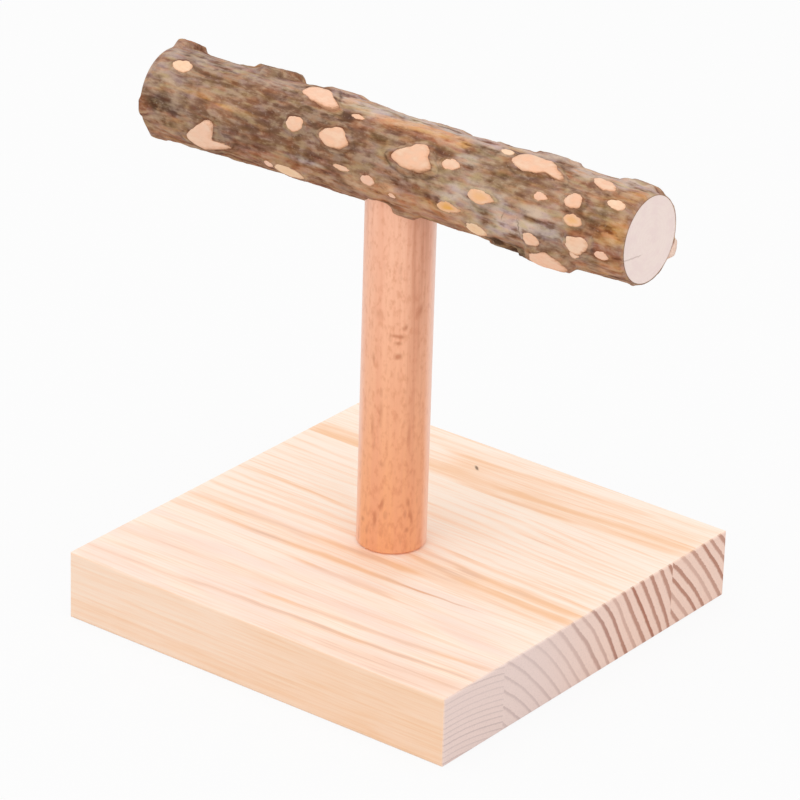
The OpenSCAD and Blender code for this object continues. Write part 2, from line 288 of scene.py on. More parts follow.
def pine(name, pith, first_ring, ring_gap, drift, streaks, warmth, end_depth, end_from, end_to):
    """Rings are circles round a pith that lies under the stave and drifts across it: each stretches from
    pale to dark and stops short. pith, first_ring and ring_gap are in millimetres on the end grain, and
    drift is how far the pattern moves across per millimetre along. Streaks are seen on the board's long sides
    and run straight from (x, y) to (x, y), with a half width and a depth, on wood of a warmth from 0 to 1. On
    the end the rings are as dark as end_depth, and reach that from the place end_from to the place end_to."""
    wood = Finish(name, 0.55)
    x, y, z = wood.place()
    sway = wood.noise(x / 60, y / 18, z / 18, 1.0) - 0.5
    across = y + (stave_end_x - x) * drift + sway * 2.5
    reach = ((across - pith[0]) ** 2.0 + (z - pith[1]) ** 2.0).math("SQRT")
    jag = wood.noise(x / 9, y / 0.9, z / 0.9, 2.0, 0.7) - 0.5
    wobble = wood.noise(reach / 8, x / 90, 0.0, 1.0) * 0.7 + jag * 0.2 + 0.55
    count = (reach - first_ring) / ring_gap + wobble
    part = count.math("FRACT")
    late = part.step(0.42, 0.86) * part.step(0.9, 1.0, 1.0, 0.0)
    depth = wood.node("ShaderNodeTexWhiteNoise", {"noise_dimensions": "1D"}, {"W": count.math("FLOOR")})
    fibre = wood.noise(x / 16, y / 0.5, z / 0.5, 3.0, 0.6)
    streak = wood.noise(x / 40, across / 1.8, z / 1.8)
    fade = wood.noise(x / 24, y / 6, z / 6, 1.0).step(0.3, 0.65)
    lines = late * (depth * 0.7 + 0.3) * (fade * 0.7 + 0.3)

    fine = wood.noise(x / 34, y / 0.75 + sway * 3.0, z / 0.6, 1.0)
    band = wood.noise(x / 70, across / 3.0, z / 6, 1.0)
    facing = wood.node("ShaderNodeNewGeometry", {}, {}, "Normal")
    facing_x, _, facing_z = wood.parts("ShaderNodeSeparateXYZ", facing)
    ends = abs(facing_x).step(0.5, 0.85)
    side = abs(facing_z).step(0.3, 0.9, 1.0, 0.0)
    warm = side * (x.step(-65, 65) * 0.35 + 0.2) + streak.step(0.42, 0.78) * 0.24 + warmth
    warm = warm + (lines * 0.38 + fine.step(0.46, 0.72) * 0.33) * (1 - side * 0.45)
    warm = warm + band.step(0.5, 0.75) * 0.15 - (1 - side) * x.step(-65, -10, 0.1, 0.0)
    waver = sway * 2.2 + (wood.noise(x / 9, y / 5, 0.0, 1.0) - 0.5) * 1.2
    for from_x, from_y, to_x, to_y, half_width, strong in streaks:
        line_y = wood.node("ShaderNodeMapRange", {}, {
            "Value": x, "From Min": from_x, "From Max": to_x, "To Min": from_y, "To Max": to_y})
        middle_x, half_long = (from_x + to_x) / 2, (to_x - from_x) / 2
        reach = abs(x - middle_x).step(half_long - 6, half_long + 5, strong, 0.0)
        warm = warm + (y + waver).hump(line_y, half_width) * reach * (streak * 0.8 + 0.6)
    warm = warm * (fibre * 0.5 + 0.75)
    greyness = wood.noise(x / 26, y / 9, z / 9, 1.0) - y / 190 - 0.08 + y.hump(22, 24) * x.step(0, 25) * 0.3
    greyness = greyness.step(0.42, 0.66, 0.0, 0.7)
    rosy = wood.noise(x / 30, y / 8, 9.0, 1.0) - y / 150
    long_grain = wood.layered(
        pine_cream,
        (warm.step(0.0, 0.7), pine_warm),
        (rosy.step(0.55, 1.0) * (1 - side) * 0.5, pine_rose),
        (warm.step(0.45, 1.3), wood.mixed(greyness * (1 - side), pine_line, pine_grey_line)),
        (warm.step(1.3, 2.6), pine_deep),
        (fibre.step(0.4, 0.7, 0.0, 0.12), pine_line),
    )

    pores = wood.noise(x / 4, y / 0.35, z / 0.35, 3.0, 0.7)
    rear = y.step(end_from, end_to)
    sharp = (part + rear * 0.15 + 0.05).step(0.7, 0.92) * part.step(0.93, 1.0, 1.0, 0.0)
    ring_depth = (depth * 0.55 + 0.45) * (rear * 0.45 + 0.55) * end_depth
    end_grain = wood.layered(
        pine_end,
        (rear * 0.7, pine_end_warm),
        (pores.step(0.45, 0.8, 0.0, 0.35), pine_end_grey),
        (sharp * ring_depth, wood.mixed(rear, pine_end_grey, pine_end_line)),
    )
    spot = (x + (y - resin_y) * 0.9).hump(resin_x, 0.9) * y.hump(resin_y, 1.5)
    spot = (spot * 1.4).math("MINIMUM", 0.9)
    wood.painted("Base Color", wood.layered(long_grain, (ends, end_grain), (spot * (1 - side), resin)))
    wood.painted("Roughness", fibre * 0.12 + ends * 0.2 + 0.5)
    wood.raised(fibre * 0.5 + lines * 0.4 + ends * pores, 0.05 * MM)
    return wood


front_streaks = [
    (-10, -49.5, 66, -44.5, 1.8, 0.7), (-30, -56.5, 66, -51.5, 1.6, 0.85),
    (-66, -58.5, -25, -57.5, 2.2, 0.4), (-66, -46, -20, -47, 4, 0.15), (20, -60.5, 66, -59, 4, 0.3),
    (-66, -62, 66, -57, 6, 0.15),
]
middle_streaks = [
    (-66, -15.2, 14, -13.4, 2.6, 0.65), (-16, -13.4, 15, -13.2, 2.4, 0.4),
    (-66, -22.2, 16, -20.8, 1.8, 0.6), (-12, -20.8, 17, -20.6, 1.9, 0.35),
    (16, -20.6, 27, -20.2, 0.7, 2.2), (24, -20.2, 40, -19.6, 0.6, 1.2), (-16, -28, 18, -28, 2.2, 0.55),
    (-66, -0.2, -8, -0.6, 1.8, 0.5), (-66, -5.2, -8, -5.8, 1.8, 0.45), (6, 0, 30, -2.8, 2.2, 0.5),
    (24, -2.8, 66, -4, 2.6, 0.6), (8, -5.8, 30, -8.4, 2, 0.5), (26, -8.5, 66, -8.8, 2.2, 0.5),
    (14, 3.4, 66, 0.4, 1.6, 0.4), (-66, 7.5, -20, 7, 1.8, 0.35), (-66, 3, -14, 3.4, 1.2, 0.4),
    (-66, 11.5, -24, 11.2, 1.3, 0.35), (-66, 18.6, -28, 18.8, 1.2, 0.35), (-66, 26.8, -34, 27, 1.4, 0.35),
    (-66, 31.5, -36, 31.6, 1.2, 0.3), (-66, 14.5, -30, 15, 3.5, 0.15), (-66, 22.5, -30, 22.5, 4, 0.2),
    (-14, 20.5, 20, 20, 7, 0.25), (10, -41, 34, -39.3, 1.2, 0.5), (-66, -10, -10, -9.8, 2, 0.3),
    (8, -10, 66, -12, 8, 0.3), (-66, -18, 16, -18, 8, 0.25), (4, -5, 66, -6, 7, 0.3),
    (18, 34.2, 66, 29, 0.9, 0.4), (22, 30, 66, 25.5, 0.9, 0.3), (20, 26, 66, 21.5, 0.9, 0.3),
    (20, 21, 66, 17, 0.9, 0.3), (20, 16, 66, 12.5, 0.9, 0.3), (20, 11, 66, 8, 0.9, 0.3),
    (18, 7, 66, 4, 0.9, 0.35),
]
rear_streaks = [
    (-66, 40.8, -30, 41.8, 3.4, 0.6), (-30, 43.3, 10, 45, 2.6, 0.6), (6, 45, 66, 48.6, 2.6, 0.6),
    (-24, 54, 45, 58.2, 2, 0.45), (-20, 50, 66, 53, 9, 0.35), (10, 42, 66, 44.5, 1.8, 0.45),
    (-66, 47, -10, 49, 7, 0.2), (-60, 57, 0, 60, 3, 0.25), (-10, 39.8, 30, 40.6, 1.8, 0.6),
    (-66, 42, 66, 43, 6, 0.3),
]
staves = [
    ("front", (-64, -84), 104.4, 1.75, 0.05, front_streaks, 0.14, 0.9, -30, 30),
    ("middle", (-85, -50), 103.7, 3.77, -0.06, middle_streaks, 0.0, 0.95, -32, 24),
    ("rear", (-14, -43), 71.8, 3.45, 0.07, rear_streaks, 0.04, 0.85, -40, -39),
]
for stave, *pattern in staves:
    pine("pine_" + stave, *pattern).cover("base_" + stave + "_stave")


# Post. A beech dowel with an eased foot, sanded and left bare: straight grain in two shades of salmon,
# crossed by the short dark flecks of the rays. Its deeper orange towards the foot is painted bounce light
# from the board, and pale strips up two of its sides are painted highlights.
post_low, post_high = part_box("post")
post_axis = (post_low + post_high) / 2
post_r = (post_high.x - post_low.x) / 2
beech_pale = shade_of(254, 193, 160)
beech_deep = shade_of(241, 169, 118)
beech_streak = shade_of(232, 156, 120)
beech_fleck = shade_of(194, 118, 80)
# Pale pink for the painted highlights up two sides of the post
beech_highlight = shade_of(255, 216, 202)
beech_spot = shade_of(214, 132, 88)
beech_mark = shade_of(196, 118, 76)

beech = Finish("beech_dowel", 0.5, 0.5)
x, y, z = beech.place()
off_x, off_y = x - post_axis.x / MM, y - post_axis.y / MM
height = (z - post_low.z / MM) / ((post_high.z - post_low.z) / MM)
flow = beech.noise(x / 6, y / 6, z / 50, 1.0) * 1.6
grain = beech.noise(x / 0.9 + flow, y / 0.9 + flow, z / 26, 3.0, 0.6)
strips = beech.noise(x / 3.2 + flow, y / 3.2, z / 60, 1.0)


def flecks_of(wide, tall, share, seed):
    """Short dark dashes along the grain: a spot in a share of the cells of a grid that is wide by tall."""
    spot = beech.node("ShaderNodeCombineXYZ", {}, {"X": x / wide + seed, "Y": y / wide, "Z": z / tall})
    cell = {"Vector": spot, "Scale": 1.0, "Randomness": 1.0}
    reach = beech.node("ShaderNodeTexVoronoi", {"feature": "F1"}, cell, "Distance")
    kind = beech.node("ShaderNodeTexVoronoi", {"feature": "F1"}, cell, "Color")
    pick = beech.parts("ShaderNodeSeparateColor", kind)[0]
    return reach.step(0.14, 0.42, 1.0, 0.0) * pick.step(1 - share, 1.25 - share)


def strip_at(angle, inwards):
    """1 along a strip up the post at an angle in degrees from the front towards +X. It fades to 0 where the
    surface has curved inwards by that many millimetres."""
    reach = off_x * float(np.sin(np.radians(angle))) - off_y * float(np.cos(np.radians(angle)))
    return reach.hump(post_r / MM, inwards)


dark_strip = strip_at(73, 1.0) * height.step(-0.1, 0.8) * 0.8
# Two pale strips up the post's sides, at 122 and -50 degrees: painted highlights
highlight_strips = strip_at(122, 1.5) * 0.5 + strip_at(-50, 1.3) * height.step(0.3, 1.0, 0.4, 0.0)
mottle = beech.noise(x / 1.3, y / 1.3, z / 2.6, 2.0, 0.6)
flecks = flecks_of(1.3, 2.6, 0.3, 0.0) * 0.3 + flecks_of(1.9, 5.0, 0.32, 9.0) * (0.8 - height * 0.55)
flecks = flecks * beech.noise(x / 2, y / 2, z / 8).step(0.3, 0.6)

# Marks in the grain: angle from the front towards +X, height, half width, half height, lean and depth
grain_marks = [
    (50, 89.2, 0.9, 1.5, 0.2, 0.8), (33, 86.8, 1.6, 0.8, 0, 0.7), (43, 86.5, 1.8, 1, 0, 0.9),
    (40, 84.6, 1.4, 0.9, 0, 0.8), (40, 80.7, 1.6, 1.4, 0, 0.9), (6, 92.5, 2.2, 2.2, 0, 0.3),
    (20, 35.8, 0.9, 3.2, 0.2, 0.8), (8, 30.8, 0.9, 3.8, 0.12, 0.9), (63, 36.2, 1, 2.4, -0.15, 0.8),
    (69, 31.6, 0.9, 3.8, -0.15, 0.9), (62, 27.9, 1.1, 1.3, 0, 0.8), (-18, 29.4, 1.1, 1.3, 0, 0.7),
    (-2, 79, 0.9, 3, -0.1, 0.6), (75, 93.7, 1.4, 2.8, 0.2, 0.8), (-1, 58.5, 0.9, 5, 0, 0.5),
    (14, 64, 0.9, 4.5, 0, 0.5), (61, 57, 0.8, 5, 0, 0.5), (18, 48, 1.4, 1.4, 0, 0.4),
]
ragged_arc = off_x.math("ARCTAN2", off_y * -1.0) * (post_r / MM) + (mottle - 0.5) * 1.2
marks = 0.0
for angle, middle, half_wide, half_tall, lean, strong in grain_marks:
    line = ragged_arc - (z - middle) * lean
    across = line.hump(np.radians(angle) * post_r / MM, half_wide)
    marks = across * z.hump(middle, half_tall) * strong + marks
# From beech_deep at the foot to beech_pale at the top: the warmer foot is painted bounce light from the
# board.
beech.painted("Base Color", beech.layered(
    beech_deep,
    (height.step(0.0, 1.0), beech_pale),
    (strips.step(0.42, 0.7, 0.0, 0.45), beech_streak),
    (grain.step(0.42, 0.75, 0.0, 0.35), beech_streak),
    (mottle.step(0.45, 0.75) * (0.55 - height * 0.15), beech_spot),
    (dark_strip * (grain * 0.9 + 0.1), beech_fleck),
    (highlight_strips, beech_highlight),
    ((flecks * 0.58).math("MINIMUM", 0.7), beech_fleck),
    (marks.math("MINIMUM", 0.8), beech_mark),
))
beech.painted("Roughness", grain * 0.15 + 0.45)
beech.painted("Coat Weight", 0.6)
beech.painted("Coat Roughness", 0.3)
beech.raised(grain * 0.6 - flecks * 0.5, 0.05 * MM)
beech.cover("post")


# Screws. A countersunk screw under the board and a double-ended one in the perch's socket, of bright
# zinc-plated steel with the slight blue and yellow cast of its passivation.
zinc_blue = shade_of(196, 201, 208)
zinc_yellow = shade_of(208, 203, 188)
zinc = Finish("zinc_plate", 0.32, 0.5)
x, y, z = zinc.place()
cast = zinc.noise(x / 2, y / 2, z / 4)
zinc.painted("Base Color", zinc.mixed(cast.step(0.3, 0.7), zinc_blue, zinc_yellow))
zinc.painted("Roughness", zinc.noise(x / 0.4, y / 0.4, z / 0.4) * 0.25 + 0.22)
zinc.painted("Metallic", 1.0)
zinc.cover("base_screw", "perch_stud")


# Perch wood. The branch under its bark, sawn square at both ends and sanded there: a pale pinkish face with
# faint rings round the pith, a thin drying crack and a narrow darker line under the bark.
wood_low, wood_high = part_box("perch_wood")
perch_turn = np.radians(1.1)
cos_turn, sin_turn = float(np.cos(perch_turn)), float(np.sin(perch_turn))
perch_r = (wood_high.z - wood_low.z) / 2
perch_mid = (wood_low + wood_high) / 2
perch_mid.z = wood_low.z + perch_r
perch_len = (wood_high.x - wood_low.x - 2 * perch_r * sin_turn) / cos_turn
wood_taper = 0.2 * MM / perch_len


def along_perch(finish):
    """Object coordinates turned to the perch, in millimetres from its middle: along, to the rear and up."""
    x, y, z = finish.place()
    x, y = x - perch_mid.x / MM, y - perch_mid.y / MM
    return x * cos_turn + y * sin_turn, y * cos_turn - x * sin_turn, z - perch_mid.z / MM


disc_pale = shade_of(249, 230, 222)
disc_ring = shade_of(228, 200, 188)
disc_edge = shade_of(206, 188, 170)
disc_cloud = shade_of(240, 214, 212)
disc_crack = shade_of(150, 118, 102)
sawn = Finish("sawn_branch", 0.6)
s, v, w = along_perch(sawn)
radius = (v ** 2.0 + w ** 2.0).math("SQRT")
pith_reach = ((v + 0.5) ** 2.0 + (w - 0.2) ** 2.0).math("SQRT") + sawn.noise(v / 5, w / 5, s / 40) * 1.5
rings = (pith_reach / 1.35).math("FRACT")
rings = rings.step(0.3, 0.9) * rings.step(0.92, 1.0, 1.0, 0.0)
pores = sawn.noise(v / 0.25, w / 0.25, s / 3, 3.0, 0.7)
crack_off = abs(w + 3.2 + v * 0.1 + sawn.noise(v / 2, 0.0, 0.0) * 0.7)
crack = crack_off.step(0.08, 0.26, 1.0, 0.0) * v.step(-12, -11.5) * v.step(-4.6, -2.8, 1.0, 0.0)
pith = pith_reach.step(0.5, 1.0, 1.0, 0.0)
clouds = sawn.noise(v / 4, w / 4, s / 9)
sawn.painted("Base Color", sawn.layered(
    disc_pale,
    (rings * 0.07, disc_ring),
    (pores.step(0.45, 0.8, 0.0, 0.25), disc_ring),
    (clouds.step(0.4, 0.7, 0.0, 0.35), disc_cloud),
    (radius.step(perch_r / MM - 0.7, perch_r / MM, 0.0, 0.28), disc_edge),
    (crack * 0.32 + pith * 0.2, disc_crack),
))
sawn.raised(pores * 0.6 - crack, 0.08 * MM)
sawn.cover("perch_wood")


# Bark. It is a thin fibrous skin that follows the wood, with plates of old bark on it, and it swells to a
# collar round each knob that was sanded off. It is brown where it is old and ash grey where it is young.
def soft_noise(x, y, z, seed):
    """Smooth noise from -1 to 1: random numbers on a cubic lattice, eased from each one to the next."""
    size = 32
    table = np.random.default_rng(seed).uniform(-1, 1, (size, size, size))
    low = [np.floor(a).astype(int) for a in (x, y, z)]
    part = [(a - b) ** 2 * (3 - 2 * (a - b)) for a, b in zip((x, y, z), low)]
    total = 0.0
    for corner in np.ndindex(2, 2, 2):
        weight = 1.0
        for share, side in zip(part, corner):
            weight = weight * (share if side else 1 - share)
        total = total + weight * table[tuple((b + side) % size for b, side in zip(low, corner))]
    return total


def eased(value, low, high):
    """0 below low, 1 above high, and smooth between."""
    part = np.clip((value - low) / (high - low), 0, 1)
    return part * part * (3 - 2 * part)


# Knobs: place along from the post, angle from the top towards the front, the face's length and width, its
# lean, how far the collar stands out of the bark, and the face's outline. Lengths are in millimetres and
# angles in degrees.
Knob = namedtuple("Knob", "place angle length width lean rise outline")
knobs = [
    (-70.1, 30, 6.8, 3.8, 4, 0.9, "oval"), (-25.2, 8, 14.2, 8, 0, 0.9, "leaf"),
    (-10.9, 25, 4.4, 1.3, 4, 0.6, "oval"), (-27.7, 57, 5.5, 3.9, 0, 1.1, "round"),
    (-13.7, 58.5, 9.8, 5.4, 0, 1.5, "shield"), (-58.7, 110, 10, 9.4, 0, 1.2, "tailed"),
    (-10.2, 90, 5.6, 1.3, 2, 0.7, "oval"), (-1.4, 95.5, 4.6, 2.6, 0, 0.8, "oval"),
    (-36, 118, 3.2, 2.2, 0, 0.6, "oval"), (-29.2, 120, 10.6, 4, 4, 0.9, "oval"),
    (11.8, 52.5, 12.9, 7.4, 0, 1.5, "rhomb"), (23.5, 49, 5.5, 3.1, 0, 0.9, "drop"),
    (35.3, 74, 8.2, 3.7, 0, 0.9, "drop"), (25.2, 97.5, 7.6, 3.1, 0, 0.8, "drop"),
    (35.8, 9, 4.1, 2.2, 10, 0.7, "oval"), (47.4, 16.5, 18.4, 6.7, 0, 1.1, "boot"),
    (52.5, 53.5, 4, 2.1, 3, 0.8, "drop"), (62.6, 47, 5.3, 3.9, 0, 1.1, "round"),
    (64.2, 68, 6, 2.8, 2, 0.9, "oval"), (66.4, 95, 7.2, 5, 0, 1.2, "heart"),
    (65.4, 108, 3.2, 2.1, 0, 0.9, "drop"), (74.2, 98, 4.4, 2, 0, 0.8, "oval"),
    (67.6, 14, 8.5, 3.4, 16, 0.8, "oval"), (74.7, 36.5, 6.1, 2.6, 4, 0.8, "oval"),
    (51.9, 105, 5.4, 3.7, 0, 1.2, "round"), (33.6, 117, 7, 4, 5, 1, "oval"),
    (56.3, 130, 13, 7.6, -4, 2.6, "oval"), (6.3, 106, 2.7, 1.4, 0, 0.6, "oval"),
    (77.4, 241, 4.4, 6.4, 0, 1.2, "stub"), (-69.2, 200, 7.8, 5.2, 12, 1.2, "shield"),
    (-56.4, 288, 5.7, 3.7, 0, 0.9, "oval"), (-48.4, 184, 6.2, 4.2, -10, 0.9, "drop"),
    (-42, 235, 9.3, 5.8, 8, 1.4, "rhomb"), (-24.3, 268, 5.2, 3.4, 0, 1, "round"),
    (-19.5, 305, 6.8, 3.9, -15, 0.9, "drop"), (-18.7, 205, 5.7, 3.9, 0, 1, "oval"),
    (17.4, 228, 7.8, 5, 10, 1.2, "shield"), (27.1, 292, 9.9, 6, -8, 1.3, "leaf"),
    (35.9, 182, 5.7, 3.9, 0, 1, "round"), (44.7, 252, 7, 4.4, 0, 1, "oval"),
    (63.2, 200, 6.2, 4.2, 14, 1, "oval"), (64, 290, 5.5, 3.4, 0, 0.9, "oval"),
    (-74, 255, 5.7, 3.9, 0, 1, "round"), (3.8, 280, 6.2, 3.9, 6, 1, "drop"),
]
knobs = [Knob(*row) for row in knobs]

# Outlines of the knob faces in half lengths and half widths, along the perch and down round it
outlines = {
    "oval": [(1, 0), (0.74, 0.66), (0.05, 1), (-0.68, 0.72), (-1, 0.06), (-0.74, -0.66), (0, -1),
             (0.66, -0.72)],
    "round": [(1, 0.1), (0.8, 0.7), (0.1, 1), (-0.6, 0.85), (-1, 0.2), (-0.85, -0.6), (-0.1, -1),
              (0.7, -0.75)],
    "drop": [(1.2, -0.1), (0.6, 0.5), (0, 0.95), (-0.7, 0.8), (-1, 0.1), (-0.75, -0.7), (-0.1, -1),
             (0.6, -0.65)],
    "leaf": [(-1, 0.06), (-0.91, -0.58), (-0.64, -0.98), (-0.25, -0.9), (0.06, -0.62), (0.38, -0.14),
             (0.77, 0.35), (1, 0.66), (0.9, 0.95), (0.53, 1.05), (0.14, 0.98), (-0.17, 0.74),
             (-0.56, 0.5), (-0.88, 0.31)],
    "shield": [(-1, 0), (-0.8, -0.5), (-0.34, -0.9), (0.11, -1), (0.4, -0.8), (0.57, -0.44), (0.86, -0.1),
               (1, 0.25), (0.8, 0.63), (0.29, 0.92), (-0.17, 1.02), (-0.63, 0.76), (-0.92, 0.36)],
    "rhomb": [(-1, 0.34), (-0.84, -0.08), (-0.47, -0.48), (-0.06, -0.88), (0.35, -1), (0.54, -0.7),
              (0.72, -0.2), (0.98, 0.3), (0.98, 0.56), (0.62, 0.8), (0.2, 0.98), (-0.2, 0.98),
              (-0.5, 0.86), (-0.84, 0.64)],
    "tailed": [(0.24, -1.12), (0.6, -1.14), (0.82, -0.98), (0.8, -0.45), (0.9, 0.0), (1.5, -0.16),
               (2.2, -0.3), (2.55, -0.24), (2.25, -0.02), (1.68, 0.24), (1.02, 0.5), (0.36, 0.72),
               (-0.32, 0.82), (-0.7, 0.68), (-0.95, 0.34), (-1, 0), (-0.45, -0.5), (-0.08, -0.94)],
    "heart": [(-1, 0.1), (-0.76, -0.7), (-0.1, -0.95), (0.6, -1), (1, -0.55), (0.8, 0.2), (0.35, 0.8),
              (-0.15, 1), (-0.7, 0.72)],
    "stub": [(0.9, 0), (0.7, 0.8), (0, 1), (-0.6, 0.7), (-1, 0), (-0.7, -0.8), (0.1, -1), (0.8, -0.6)],
    "boot": [(-1, 0), (-0.84, -0.58), (-0.6, -0.92), (-0.23, -1), (0.14, -0.92), (0.33, -0.67),
             (0.54, -0.17), (0.82, 0.17), (1, 0.72), (0.92, 0.92), (0.62, 0.76), (0.33, 0.48),
             (-0.04, 0.75), (-0.41, 0.92), (-0.72, 0.67), (-0.93, 0.33)],
}
outline_turns = 720
even_turns = np.linspace(-np.pi, np.pi, outline_turns, endpoint=False)


def outline_reach(points):
    """Walks the outline from point to point, rounds its corners with a moving average, and gives its reach
    from the middle at even turns."""
    corner = np.arange(len(points) + 1)
    walk = np.linspace(0, len(points), outline_turns, endpoint=False)
    x, y = [np.interp(walk, corner, [*side, side[0]]) for side in zip(*points)]
    window = np.hanning(outline_turns // len(points) + 3)
    window = window / window.sum()
    once = slice(outline_turns, 2 * outline_turns)
    x, y = [np.convolve(np.tile(side, 3), window, "same")[once] for side in (x, y)]
    order = np.argsort(np.arctan2(y, x))
    return np.interp(even_turns, np.arctan2(y, x)[order], np.hypot(x, y)[order], period=2 * np.pi)


reaches = {name: outline_reach(points) for name, points in outlines.items()}


def knob_edge(knob, turn):
    """Reach of a knob's outline at a turn: the outline's points are stretched to the face's sizes."""
    half_long, half_wide = knob.length * MM / 2, knob.width * MM / 2
    flat_turn = np.arctan2(np.sin(turn) / half_wide, np.cos(turn) / half_long)
    share = np.interp(flat_turn, even_turns, reaches[knob.outline], period=2 * np.pi)
    ripple = 0.05 * np.sin(3 * turn + knob.place) + 0.03 * np.sin(5 * turn + 2 * knob.angle)
    ripple = ripple + 0.02 * np.sin(9 * turn)
    return share * (1 + ripple) / np.hypot(np.cos(turn) / half_long, np.sin(turn) / half_wide)


# Sizes of the bark, of the seat that the post presses into it, and of the sanded faces
bark_t = 1.0 * MM
bark_least = 0.3 * MM
seat_t = 0.15 * MM
seat_margin = 0.3 * MM
face_pit = 0.5 * MM
face_sink = 0.15 * MM
face_bend = 24 * MM
stub_rise = 2.0 * MM
ragged = 0.22 * MM


def wood_radius(s):
    """The wood tapers evenly from left to right."""
    return perch_r - wood_taper * (s + perch_len / 2)


def round_from(angle, other):
    """Distance round the perch from an angle in degrees, in metres and positive down the front."""
    return ((angle - np.radians(other) + np.pi) % (2 * np.pi) - np.pi) * (perch_r + bark_t)


def leaned(along, round_, degrees):
    """A place on the bark, along the perch and round it, turned about the knob's middle."""
    cos_lean, sin_lean = np.cos(np.radians(degrees)), np.sin(np.radians(degrees))
    return along * cos_lean - round_ * sin_lean, along * sin_lean + round_ * cos_lean


def face_height(knob, across):
    """Distance from the perch's axis of a knob's sanded face, which bends a little across its middle."""
    rim = wood_radius(knob.place * MM) + bark_t + knob.rise * MM
    half_wide = min(knob.width, 9) * MM / 2
    rim = rim + (stub_rise if knob.outline == "stub" else 0)
    middle = np.sqrt(rim ** 2 - half_wide ** 2) * 0.6 + rim * 0.4 - face_sink
    return middle - across ** 2 / (2 * face_bend)


rings_n, sides_n, inner_n = 420, 224, 5
angle_row = np.linspace(0, 2 * np.pi, sides_n, endpoint=False)
s_row = np.linspace(-perch_len / 2, perch_len / 2, rings_n)
s_grid, angle_grid = np.meshgrid(s_row, angle_row, indexing="ij")
post_off = perch_mid.x - post_axis.x
s_post = s_grid + post_off


def fibres(length, width, seed, sway=0.0):
    """Noise round the bark with no seam, drawn out along the perch: length by width in millimetres."""
    mean_r = perch_r + bark_t
    angle = angle_grid + sway
    return soft_noise(s_grid / (length * MM), mean_r * np.cos(angle) / (width * MM),
                      mean_r * np.sin(angle) / (width * MM), seed)


wander = fibres(24, 9, 1)
lumps = fibres(8, 4.2, 2)
strips = fibres(6.5, 1.7, 3, 0.12 * wander)
threads = fibres(2.6, 0.9, 4, 0.12 * wander)
scales = 1 - 2 * np.abs(fibres(3.6, 2.2, 5, 0.1 * wander))
grit = fibres(1.1, 0.9, 12)
blotch = fibres(5, 2.2, 10)
rough_share = 0.6 + 0.4 * eased(fibres(30, 8, 6) - s_grid / perch_len, -0.5, 0.6)
relief = (0.26 * lumps + rough_share * (0.22 * strips + 0.14 * threads + 0.16 * scales) + 0.05 * grit) * MM
height_grid = bark_t + 0.25 * MM * wander + relief

# Plates of old bark: place, angle, half length, half width, rise, and the share of it that the edge takes
plates = [
    (-79.4, 330, 5.6, 6.5, 1.5, 0.3), (-65, 330, 10.2, 6, -0.65, 0.35), (-46.6, 329, 8.1, 6.5, 1.35, 0.3),
    (-44.5, 327, 4, 4, 0.3, 0.4), (-36, 327, 3.6, 5, -0.75, 0.4), (-23, 328, 7.5, 6, 0.9, 0.5),
    (-2, 330, 10, 6, -0.7, 0.5), (22, 330, 7, 6, -0.7, 0.4), (46.2, 326, 7.9, 5.5, 1, 0.25),
    (73.6, 331, 7.2, 5.5, 1.1, 0.55), (0, 152, 90, 8, -0.45, 0.6), (39.6, 150, 5.5, 3.6, 1, 0.3),
    (47.5, 147, 4, 3.6, 1.6, 0.3), (7, 142, 7, 3.6, 1.5, 0.5), (-79.5, 92, 3.6, 3.4, 1.4, 0.5),
    (-36, 205, 9, 4.5, 1, 0.3), (24, 262, 9, 4, 1, 0.3), (-77, 140, 4, 3.5, 0.6, 0.4),
    (76, 146, 6, 5, -0.4, 0.4), (81, 172, 4, 5, -0.8, 0.5),
]
for place, angle, half_long, half_wide, rise, edge in plates:
    along = (s_post - place * MM) / (half_long * MM)
    reach = np.hypot(along, round_from(angle_grid, angle) / (half_wide * MM)) + 0.25 * fibres(3.0, 1.8, 7)
    height_grid += rise * MM * (1 - eased(reach, 1 - edge, 1.0)) * (1 + 0.25 * blotch)

# Where each knob's painted shade and lighter lip lie round its collar, in radians from straight down
# and positive to the left
crescent_sides = {1: -0.9, 4: -0.3, 10: 0.1, 12: -0.8, 15: -0.7, 17: -1.2, 18: -0.8, 19: -0.9, 24: -0.4}

